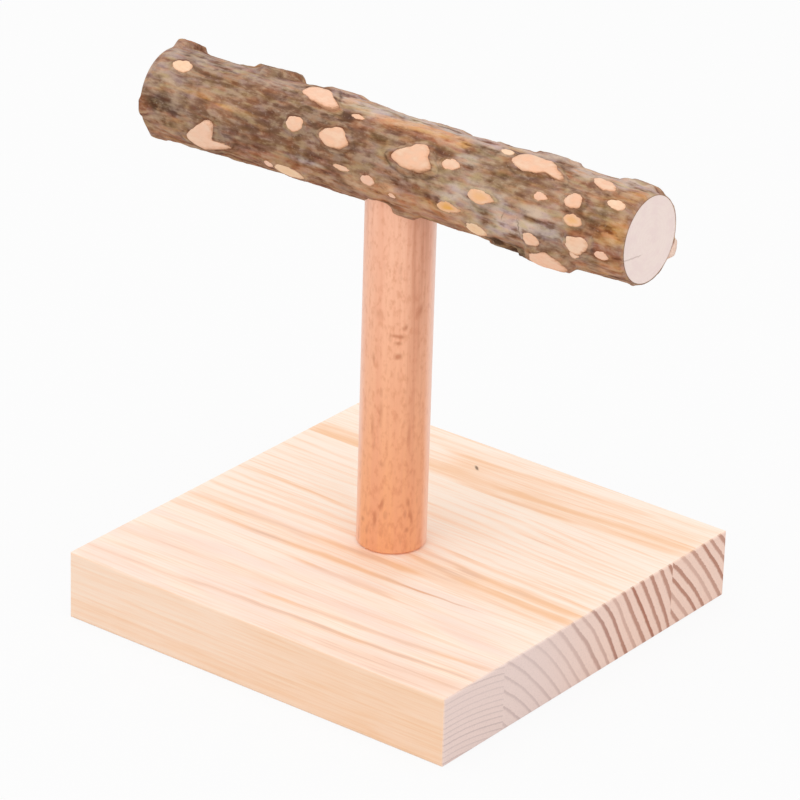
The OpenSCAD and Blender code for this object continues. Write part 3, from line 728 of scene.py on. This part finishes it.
masks = np.zeros((4, *s_grid.shape))
edge_noise = fibres(1.6, 0.9, 8) + 0.4 * fibres(0.8, 0.5, 13)
uneven = 1 + 0.35 * blotch
carvings = []
for number, knob in enumerate(knobs):
    along, round_ = s_post - knob.place * MM, round_from(angle_grid, knob.angle)
    along, round_ = leaned(along, round_, -knob.lean)
    turn = np.arctan2(round_, along)
    off = np.hypot(along, round_) - knob_edge(knob, turn)
    near = off < 6 * MM
    off = off + ragged * edge_noise
    face = face_height(knob, round_) - wood_radius(s_grid) - (stub_rise if knob.outline == "stub" else 0)
    lip = (0.35 + 0.11 * knob.width) * MM * uneven
    spread = (1.7 + 0.27 * knob.width) * MM * uneven
    swell = 0.5 * (1 - eased(off, 0.35 * MM, spread)) + 0.5 * (1 - eased(off, 0.5 * lip, 1.8 * lip))
    collar = (face + 0.04 * MM * uneven - bark_t) * swell + bark_t
    swollen = np.maximum(height_grid, collar + relief * 0.6)
    height_grid = np.where(near & (off < spread), swollen, height_grid)
    carvings.append((1 - eased(off, -0.30 * MM, 0.10 * MM), face - face_pit))
    below = (0.6 + 0.4 * np.sin(turn - crescent_sides.get(number, 0))) * np.clip((knob.width - 2) / 4, 0.12, 1)
    below = below * (knob.outline != "stub")
    rim_width = (0.45 + 0.5 * below) * lip
    # The rim, the lip, the foot line and the collar's wall. The lip is a lighter layer of bark, the foot line
    # is a painted shadow, the collar's lower wall is painted shade, and the rim is the bark's dark edge,
    # painted darker below as shade.
    masks = np.maximum(masks, near * np.array([
        (0.12 + 0.88 * below) * np.exp(-(np.maximum(off, 0) / rim_width) ** 2),
        below * np.exp(-((off - 1.1 * lip) / (0.45 * lip)) ** 2),
        below * np.exp(-((off - 1.7 * lip) / (0.3 * lip)) ** 2),
        below * (1 - eased(off, 0.6 * MM, spread * 1.2)),
    ]))
rim_and_shade_mask, lip_mask, foot_shadow_mask, collar_shade_mask = masks
for inside, face_floor in carvings:
    height_grid = height_grid * (1 - inside) + face_floor * inside

# The saw and the sandpaper have taken the bark's outer edge off at both ends
end_gap = perch_len / 2 - np.abs(s_grid)
worn = (s_grid < 0) * eased(np.cos(angle_grid - np.radians(28)), 0.75, 0.95) + (
    0.5 * (s_grid > 0) * eased(np.cos(angle_grid - np.radians(332)), 0.8, 0.96))
end_share = eased(end_gap, -0.2 * MM, (0.8 + 2.4 * worn + 0.5 * blotch) * MM)
height_grid = np.maximum(height_grid, bark_least)
height_grid = height_grid * end_share + bark_least * (1 - end_share)
bark_radius = wood_radius(s_grid) + height_grid


def on_perch(s, angle, radius):
    """A point at a place, angle and radius of the perch: along its axis, then out from it."""
    out, rise = -radius * np.sin(angle), radius * np.cos(angle)
    return np.stack([
        perch_mid.x + s * cos_turn - out * sin_turn,
        perch_mid.y + s * sin_turn + out * cos_turn,
        perch_mid.z + rise,
    ], axis=-1)


skin = on_perch(s_grid, angle_grid, bark_radius)
under_post = (np.hypot(skin[..., 0] - post_axis.x, skin[..., 1] - post_axis.y) < post_r - seat_margin) & (
    skin[..., 2] < perch_mid.z)
skin_floor = on_perch(s_grid, angle_grid, wood_radius(s_grid) + seat_t)
skin = np.where(under_post[..., None], skin_floor, skin)

inner_row = np.linspace(perch_len / 2, -perch_len / 2, inner_n)
inner_grid, inner_angle = np.meshgrid(inner_row, angle_row, indexing="ij")
lining = on_perch(inner_grid, inner_angle, wood_radius(inner_grid))

# Colours of the bark, and where each lies: place, angle, half length, half width, colour and depth
bark_paints = {
    "brown": (152, 113, 87), "umber": (122, 87, 65), "char": (90, 62, 46), "ash": (168, 140, 116),
    "slate": (186, 167, 152), "olive": (150, 128, 97), "rose": (184, 154, 138), "silver": (206, 182, 166),
    "mist": (188, 176, 170), "bare": (242, 212, 194), "fawn": (182, 145, 115), "tan": (208, 157, 116),
    "ochre": (204, 154, 94), "rust": (162, 103, 74), "russet": (169, 116, 86), "sawn": (206, 170, 146),
}
patches = [
    (-28, 50, 24, 7, "umber", 0.5), (-25, 74, 25, 5.5, "umber", 0.6), (-54, 92, 12, 4, "umber", 0.6),
    (50, 112, 36, 6, "russet", 0.55), (45, -6, 40, 5, "mist", 0.55), (0, -3, 30, 5, "mist", 0.8),
    (7, -4, 7, 4, "silver", 0.6), (62, 0, 20, 4.5, "silver", 0.6), (-66, 4, 18, 5, "mist", 0.5),
    (-42, 5, 18, 4, "mist", 0.4), (33, 5, 6, 4, "silver", 0.7), (-18, 2, 14, 4, "silver", 0.7),
    (-48, 330, 11, 7, "ash", 0.5), (-41, 329, 4, 6, "umber", 0.6), (-78, 330, 6, 6, "russet", 0.9),
    (-74, 328, 3, 5, "umber", 0.6), (-71, 40, 12, 3, "silver", 0.45), (-68, 42, 16, 12, "umber", 0.42),
    (-70, 40, 12, 12, "mist", 0.25), (-60, 42, 12, 3, "olive", 0.5), (-33, 36, 15, 3.5, "umber", 0.2),
    (-73, 62, 9, 3, "ash", 0.7), (-73, 82, 10, 3.2, "char", 1), (-60, 79, 8, 1.8, "char", 0.45),
    (-79.5, 92, 3.2, 3.2, "rust", 0.6), (-72, 106, 8, 3, "ash", 0.7), (-61, 58, 7, 0.7, "ochre", 0.6),
    (-59, 66, 6, 0.7, "umber", 0.5), (-48, 62, 9, 0.7, "ochre", 0.9), (-38, 76, 13, 4, "umber", 0.6),
    (-24, 97, 8, 1.2, "slate", 0.8), (-45, 90, 9, 2.5, "umber", 0.7), (-32, 53, 10, 5, "char", 0.55),
    (-32, 101, 6, 4, "umber", 0.4), (-20, 48, 8, 4, "char", 0.55), (-30, 108, 12, 1.6, "rust", 0.6),
    (-52, 121, 6, 2, "rust", 0.6), (-59, 121, 8, 5.5, "char", 0.7), (-1, 68, 5, 3.6, "ash", 0.8),
    (0, 48, 5, 4, "olive", 0.6), (-52, 97, 4, 2.2, "char", 0.9), (-49, 114, 8, 2.2, "rust", 0.6),
    (-7, 58, 2.5, 5, "umber", 0.9), (-10, 80, 5, 3, "umber", 0.7), (-55, 30, 18, 3.4, "umber", 0.75),
    (-19, 29, 8, 4, "umber", 1), (-19, 30, 8, 4, "char", 0.75), (-20, 20, 4, 2, "rust", 0.9),
    (-7, 119, 6, 4.5, "umber", 0.9), (-20, 122, 5, 3, "fawn", 0.6), (8, 14, 15, 2.6, "tan", 0.9),
    (10, 23, 13, 1.2, "rust", 0.6), (18, 12, 7, 2.6, "tan", 0.7), (31, 16, 6, 4, "olive", 0.6),
    (1, 34, 7, 2.4, "umber", 0.5), (19.5, 40, 4, 3, "umber", 0.75), (19, 56, 2, 2.4, "umber", 0.6),
    (27, 34, 5, 2.6, "slate", 0.9), (34, 34, 5, 3, "olive", 0.5), (45, 35, 10, 2.2, "umber", 0.5),
    (44, 28, 5, 1.4, "char", 0.2), (55, 20, 3, 3.5, "russet", 0.9), (52, -3, 4, 3.5, "umber", 1),
    (33, -5, 7, 4, "silver", 0.85), (58, 33, 7, 3, "ash", 0.7), (2, 66, 5, 4, "ash", 0.6),
    (17, 60, 9, 4, "fawn", 0.9), (27, 62, 8, 3.2, "ash", 0.9), (40, 50, 9, 3, "olive", 0.6),
    (55, 64, 6, 5, "fawn", 0.8), (8, 80, 8, 2.6, "fawn", 0.5), (-7, 80, 5, 4, "umber", 0.9),
    (6, 78, 6, 4, "ash", 0.5), (46, 67, 3.2, 1.6, "ochre", 0.9), (44, 71, 3, 1, "rust", 0.7),
    (20, 80, 7, 3, "olive", 0.5), (38, 86, 16, 6, "slate", 0.9), (57, 90, 7, 4.5, "slate", 1),
    (63, 75, 7, 3, "ash", 0.7), (30, 84, 8, 4, "slate", 0.7), (0, 106, 10, 2.6, "tan", 0.6),
    (-7, 98, 5, 3, "fawn", 0.8), (17, 106, 12, 3, "tan", 0.6), (12, 122, 15, 3, "russet", 0.7),
    (32, 124, 6, 3, "tan", 0.5), (42, 106, 10, 3, "slate", 0.9), (45, 97, 7, 4, "silver", 0.9),
    (38, 135, 4, 3, "char", 1), (44, 143, 6, 4, "char", 1), (62, 81, 3.4, 1.8, "umber", 0.3),
    (57, 75, 6, 4, "silver", 0.45), (65.5, 47, 1.6, 3, "umber", 0.9), (69, 84, 5, 2.4, "rust", 0.8),
    (72, 74, 5, 2.6, "russet", 0.8), (74, 92, 6, 2.6, "rust", 0.7), (77.5, 66, 3.4, 4, "ochre", 0.6),
    (77, 60, 3, 3, "rust", 0.4), (77, 14, 4, 3, "ochre", 0.6), (71, 26, 6, 3, "fawn", 0.7),
    (72, 26, 8, 3, "tan", 0.15), (71, 52, 6, 4, "umber", 0.4), (46, 52, 6, 4, "umber", 0.35),
    (60, 108, 5, 2.6, "umber", 0.8), (73, 116, 7, 3, "tan", 0.5), (23, 18, 2.6, 1.8, "ochre", 0.8),
    (31, 99, 3, 1.6, "ochre", 0.5), (58, 66, 2.5, 1.5, "olive", 0.6), (70, 108, 3, 4, "umber", 0.8),
    (-50, 250, 20, 8, "ash", 0.8), (15, 195, 16, 6, "ash", 0.8), (55, 270, 18, 8, "ash", 0.8),
    (-20, 292, 18, 5, "rose", 0.7), (-65, 200, 10, 5, "umber", 0.8), (35, 235, 14, 5, "umber", 0.8),
    (0, 240, 14, 5, "olive", 0.8), (70, 215, 8, 5, "rust", 0.6), (79, 238, 5, 6, "bare", 1),
    (81.5, 165, 3, 8, "char", 1), (-35, 172, 14, 4, "rust", 0.6), (40, 190, 12, 2, "ochre", 0.7),
    (-62, 285, 8, 3, "ochre", 0.6), (20, 312, 16, 5, "rose", 0.7), (60, 318, 14, 6, "rose", 0.6),
    (-10, 332, 20, 5, "rose", 0.7), (28, 345, 14, 4, "rose", 0.7), (-20, 225, 12, 3, "umber", 0.8),
    (25, 268, 10, 4, "char", 0.6), (-71, -5, 7, 4, "umber", 0.25), (-46, -4, 7, 5, "umber", 0.4),
    (-33, -5, 7, 4, "umber", 0.25), (-33, 22, 6, 3, "ash", 0.4), (33, 20, 6, 4, "umber", 0.25),
    (59, 20, 7, 4, "umber", 0.2), (-6, 45, 7, 5, "umber", 0.25), (33, 47, 7, 5, "umber", 0.25),
    (58, 47, 7, 5, "umber", 0.25), (-7, 70, 7, 5, "umber", 0.5), (7, 70, 7, 4, "ash", 0.35),
    (70, 56, 4, 4, "olive", 0.6), (76, 72, 5, 4, "ochre", 0.4), (71, 22, 6, 3, "umber", 0.2),
    (-45, 95, 6, 4, "ash", 0.25), (-66, 45, 12, 6, "umber", 0.2), (-46, 72, 6, 5, "umber", 0.3),
    (33, 95, 6, 5, "umber", 0.25), (-56, 121, 10, 2.2, "char", 0.5),
]
light_of = {name: np.array(shade_of(*paint)[:3]) for name, paint in bark_paints.items()}
paint = np.ones(s_grid.shape + (3,)) * light_of["brown"]
for place, angle, half_long, half_wide, name, depth in patches:
    along = (s_post - place * MM) / (half_long * MM)
    round_ = round_from(angle_grid, angle) / (half_wide * MM)
    mask = depth * eased(1.25 - np.hypot(along, round_) + 0.3 * blotch + 0.3 * strips, 0.0, 0.7)
    paint = paint + (light_of[name] - paint) * mask[..., None]
rim_light = (light_of["char"] + light_of["rust"]) / 2
lip_light = (light_of["olive"] + light_of["fawn"]) / 2
sawn_off = (1 - eased(end_gap, 0.1 * MM, 0.6 * MM)) * (1 - eased(np.sin(angle_grid - 2.4), 0.4, 0.9))

# Over the collars, each over the one before it: painted shade on the lower wall, a painted shadow line at the
# foot, the lighter lip, and the dark rim, painted darker below as shade. Then the edge that the saw left pale
coats = [
    (0.45 * collar_shade_mask * (1 + 0.5 * blotch), light_of["umber"]),
    (foot_shadow_mask * (1 + 0.5 * blotch), light_of["char"]),
    (0.8 * lip_mask * (1 + 0.5 * blotch), lip_light),
    (0.72 * rim_and_shade_mask * (1 + 0.4 * edge_noise + 0.3 * blotch), rim_light),
    (0.4 * sawn_off, light_of["sawn"]),
]
for share, light in coats:
    paint = paint + (light - paint) * share.clip(0, 1)[..., None]

# The ridges of the relief, kept in the paint's alpha, let the bark's shader paint the ridges lighter and the
# grooves darker: painted highlight and shade.
ridge = eased(0.5 * strips + 0.4 * threads + 0.35 * scales + 0.2 * grit, -0.8, 0.8)
paint = np.concatenate([paint, ridge[..., None]], axis=-1)
lining_paint = np.tile([*light_of["brown"], 0.5], (inner_n, sides_n, 1))


def tube_mesh(name, points, paints):
    """Closes rings of points on themselves and on each other, so that the sheet becomes a shell with a bore.
    The points' colours are kept as the attribute "paint"."""
    rings, sides = points.shape[:2]
    ring, side = np.meshgrid(np.arange(rings), np.arange(sides), indexing="ij")
    next_ring, next_side = (ring + 1) % rings, (side + 1) % sides
    quads = np.stack([ring * sides + side, ring * sides + next_side, next_ring * sides + next_side,
                      next_ring * sides + side], axis=-1).reshape(-1, 4)
    mesh = bpy.data.meshes.new(name)
    mesh.vertices.add(rings * sides)
    mesh.vertices.foreach_set("co", points.reshape(-1).astype(np.float32))
    mesh.loops.add(quads.size)
    mesh.loops.foreach_set("vertex_index", quads.reshape(-1).astype(np.int32))
    mesh.polygons.add(len(quads))
    mesh.polygons.foreach_set("loop_start", np.arange(0, quads.size, 4, dtype=np.int32))
    made_paint = mesh.attributes.new("paint", "FLOAT_COLOR", "POINT")
    made_paint.data.foreach_set("color", paints.reshape(-1).astype(np.float32))
    mesh.update(calc_edges=True)
    mesh.validate()
    mesh.shade_smooth()
    return shown(name, mesh)


bark = tube_mesh("branch_bark", np.concatenate([skin, lining]), np.concatenate([paint, lining_paint]))

bark_shadow = shade_of(178, 156, 140)
bark_lit = shade_of(238, 208, 176)
bark_pit = shade_of(86, 62, 46)
bark_fleck = shade_of(216, 198, 178)
bark_crack = shade_of(98, 76, 62)

# Faint tints in clouds of their own: shift along, length, width and colour
bark_tints = [
    (40, 5, 1.6, shade_of(255, 232, 218)), (80, 6, 2, shade_of(247, 247, 226)),
    (20, 5.5, 1.7, shade_of(240, 236, 253)),
]

# Drying cracks round the ash grey bark on the front: place from the post, lean, half width, height from the
# perch's axis, half height and depth
bark_cracks = [(48.1, 0.15, 0.3, -1.2, 3.4, 0.8), (43, -0.2, 0.25, 0.4, 1.8, 0.6)]

rind = Finish("branch_bark", 0.85, 0.2)
s, v, w = along_perch(rind)
laid = rind.node("ShaderNodeAttribute", {"attribute_name": "paint"}, {}, "Color")
ridge_for_shading = rind.node("ShaderNodeAttribute", {"attribute_name": "paint"}, {}, "Alpha")
drift = rind.noise(s / 14, v / 4, w / 4, 1.0) * 2.0
hair = rind.noise(s / 1.5 + drift, v / 0.5, w / 0.5, 2.0, 0.55)
strand = rind.noise(s / 4.5 + drift, v / 0.9, w / 0.9)
mottle = rind.noise(s / 1.4, v / 1.0, w / 1.0)
cloud = rind.noise(s / 6.0, v / 3.0, w / 3.0)
speck = rind.noise(s / 0.8, v / 0.6, w / 0.6)
# Where the relief's grooves and the darker noise meet, the bark is painted darker, and lighter on the ridges:
# painted shade and highlight, mixed with the bark's own mottling.
depth = hair * 0.28 + strand * 0.38 + ridge_for_shading * 0.35 + mottle * 0.18 + cloud * 0.42
shaded = rind.mixed(1.0, laid, bark_shadow, "MULTIPLY")
lit = rind.mixed(0.32, laid, bark_lit)
laid_red = rind.parts("ShaderNodeSeparateColor", laid)[0]
colour = rind.mixed(depth.step(0.82, 0.55) * laid_red.step(0.11, 0.34, 0.2, 1.0), laid, shaded)
colour = rind.mixed(depth.step(0.76, 1.02) * 0.9, colour, lit)
for shift, long, wide, tint in bark_tints:
    reach = rind.noise(s / long + shift, v / wide, w / wide, 1.0)
    tinted = rind.mixed(1.0, colour, tint, "MULTIPLY")
    colour = rind.mixed(reach.step(0.44, 0.7), colour, tinted)

from_post = s + post_off / MM
cracks = 0.0
for place, lean, half_wide, middle, half_tall, strong in bark_cracks:
    across = (from_post + w * lean + mottle * 1.5).hump(place, half_wide)
    cracks = across * w.hump(middle, half_tall) * strong + cracks
rind.painted("Base Color", rind.layered(
    colour,
    (speck.step(0.40, 0.26) * 0.22, bark_pit),
    (speck.step(0.60, 0.74) * 0.16, bark_fleck),
    (cracks * v.step(-6.0, -4.0, 1.0, 0.0), bark_crack),
))
rind.raised(hair * 0.4 + strand * 0.4 + mottle * 0.3 + speck * 0.15, 0.2 * MM)
bark.data.materials.append(rind.material)
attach(bark, "root")
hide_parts("perch_bark")


# Knob faces. Where the branch's knobs are sanded off, their pale corky wood shows as flats let into the
# bark, some of them with a yellow heart.
face_shares = np.concatenate([np.linspace(0, 1, 10) ** 0.8, [1.0, 0.0]])
rim_drop, lid_depth = 0.10 * MM, 1.6 * MM
face_drops = np.array([0.0] * 9 + [rim_drop, lid_depth, lid_depth])
face_sides = 96
face_margin = 0.28 * MM


def knob_face(knob):
    """A lid over the knob's outline: rings from the middle to the edge, an eased rim, then down and shut."""
    turn = np.linspace(0, 2 * np.pi, face_sides, endpoint=False)
    reach = face_shares[:, None] * (knob_edge(knob, turn) + face_margin)
    along, round_ = reach * np.cos(turn), reach * np.sin(turn)
    waves = soft_noise(along / (2.2 * MM), round_ / (1.6 * MM), np.full_like(along, knob.place), 11)
    sunk = (face_drops > MM) * (stub_rise if knob.outline == "stub" else 0)
    out = face_height(knob, round_) - (face_drops + sunk)[:, None] + 0.07 * MM * waves
    along, round_ = leaned(along, round_, knob.lean)
    middle = np.radians(knob.angle)
    spread = middle + np.arctan2(round_, out)
    return on_perch(knob.place * MM - post_off + along, spread, np.hypot(out, round_))


# How far each knob's face is yellow in the middle, pale or rosy, by its number in the list of knobs
yellow_hearts = {12: 0.5, 13: 1.0, 18: 0.6, 9: 0.2, 25: 0.25, 0: 0.1, 33: 0.6, 41: 0.7}
pale_faces = {0: 0.5, 1: 0.2, 5: 0.3, 8: 0.2, 9: 0.9, 14: 0.6, 19: 0.3, 20: 0.3, 23: 0.4, 25: 0.9, 28: 0.9}
rosy_faces = {1: 0.4, 5: 0.4, 7: 0.3, 8: 0.9, 16: 0.3, 20: 0.2, 21: 1.0, 26: 0.3, 28: 0.8, 38: 0.5}
lid_points, lid_faces, lid_tones = [], [], []
around = np.arange(face_sides)
beside = (around + 1) % face_sides
for number, knob in enumerate(knobs):
    points = knob_face(knob)
    ring_count = len(points) - 2
    first = sum(len(done) for done in lid_points)
    last = first + 1 + (ring_count - 1) * face_sides
    corner = first + 1 + np.arange(ring_count - 1)[:, None] * face_sides
    wall = [corner + around, corner + face_sides + around, corner + face_sides + beside, corner + beside]
    top = [np.full(face_sides, first), first + 1 + around, first + 1 + beside]
    bottom = [np.full(face_sides, last + face_sides), last + beside, last + around]
    for faces in (top, wall, bottom):
        lid_faces += np.stack(faces, -1).reshape(-1, len(faces)).tolist()
    lid_points.append(np.concatenate([points[0, :1], points[1:-1].reshape(-1, 3), points[-1, :1]]))
    aslant = 1 + 0.2 * np.cos(2 * np.pi * around / face_sides - 0.8)
    aslant = aslant * (0.6 if knob.outline == "stub" else 1)
    share = np.concatenate([[0], (face_shares[1:-1, None] * aslant).reshape(-1), [1]])
    kinds = [np.full_like(share, kind.get(number, 0)) for kind in (yellow_hearts, pale_faces, rosy_faces)]
    lid_tones.append(np.stack([share, *kinds], -1))
lid_mesh = bpy.data.meshes.new("knob_lids")
lid_mesh.from_pydata(np.concatenate(lid_points).tolist(), [], lid_faces)
lid_paint = lid_mesh.attributes.new("tones", "FLOAT_COLOR", "POINT")
lid_paint.data.foreach_set("color", np.concatenate(lid_tones).reshape(-1).astype(np.float32))
lid_mesh.shade_smooth()
lids = shown("knob_lids", lid_mesh)

cork_pink = shade_of(237, 194, 168)
cork_tan = shade_of(237, 193, 159)
# Lighter for faces low on the perch and darker for faces high on it: painted light and shade
cork_painted_light_low = shade_of(252, 211, 182)
cork_painted_shade_high = shade_of(231, 188, 159)
cork_blush = shade_of(250, 190, 152)
cork_cream = shade_of(244, 210, 180)
cork_rosy = shade_of(246, 190, 166)
cork_pale = shade_of(247, 216, 182)
cork_pale_rosy = shade_of(246, 216, 202)
cork_heart = shade_of(232, 170, 86)
cork_grain = shade_of(226, 166, 126)
cork_rim = shade_of(212, 150, 108)
cork_edge = shade_of(160, 112, 78)
cork_dust = shade_of(200, 140, 104)
cork = Finish("knob_wood", 0.6)
s, v, w = along_perch(cork)
tones = cork.node("ShaderNodeAttribute", {"attribute_name": "tones"}, {}, "Color")
reach_tone, heart_tone, pale_tone = cork.parts("ShaderNodeSeparateColor", tones)
rosy_tone = cork.node("ShaderNodeAttribute", {"attribute_name": "tones"}, {}, "Alpha")
grainy = cork.noise(s / 1.6, v / 0.8, w / 0.8, 3.0, 0.6)
dusty = cork.noise(s / 0.3, v / 0.3, w / 0.3)
kind_tone = cork.noise(s / 9, v / 9, w / 9, 1.0)
edge_reach = reach_tone + (grainy - 0.5) * 0.4
cheeks = cork.noise(s / 3.2, v / 2.2, w / 2.2, 1.0)
cork.painted("Base Color", cork.layered(
    cork_pink,
    (kind_tone.step(0.3, 0.7), cork_tan),
    # Faces low on the perch are painted lighter and faces high on it darker: painted light and shade.
    (w.step(1.0, -7.0, 0.0, 0.8), cork_painted_light_low),
    (w.step(2.0, 8.0), cork_painted_shade_high),
    (cheeks.step(0.35, 0.7, 0.0, 0.4), cork_blush),
    (cheeks.step(0.5, 0.3, 0.0, 0.4), cork_cream),
    (rosy_tone * 0.4, cork_rosy),
    (pale_tone, cork.mixed(rosy_tone, cork_pale, cork_pale_rosy)),
    (heart_tone * edge_reach.step(0.15, 0.85, 1.0, 0.3), cork_heart),
    (grainy.step(0.45, 0.8, 0.0, 0.35), cork_grain),
    (edge_reach.step(0.7, 1.15, 0.0, 0.6), cork_rim),
    (edge_reach.step(0.98, 1.2, 0.0, 0.8), cork_edge),
    (dusty.step(0.35, 0.25, 0.0, 0.25), cork_dust),
))
cork.raised(grainy * 0.6 + dusty * 0.3, 0.1 * MM)
lid_mesh.materials.append(cork.material)
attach(lids, "root")
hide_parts("knob_faces")
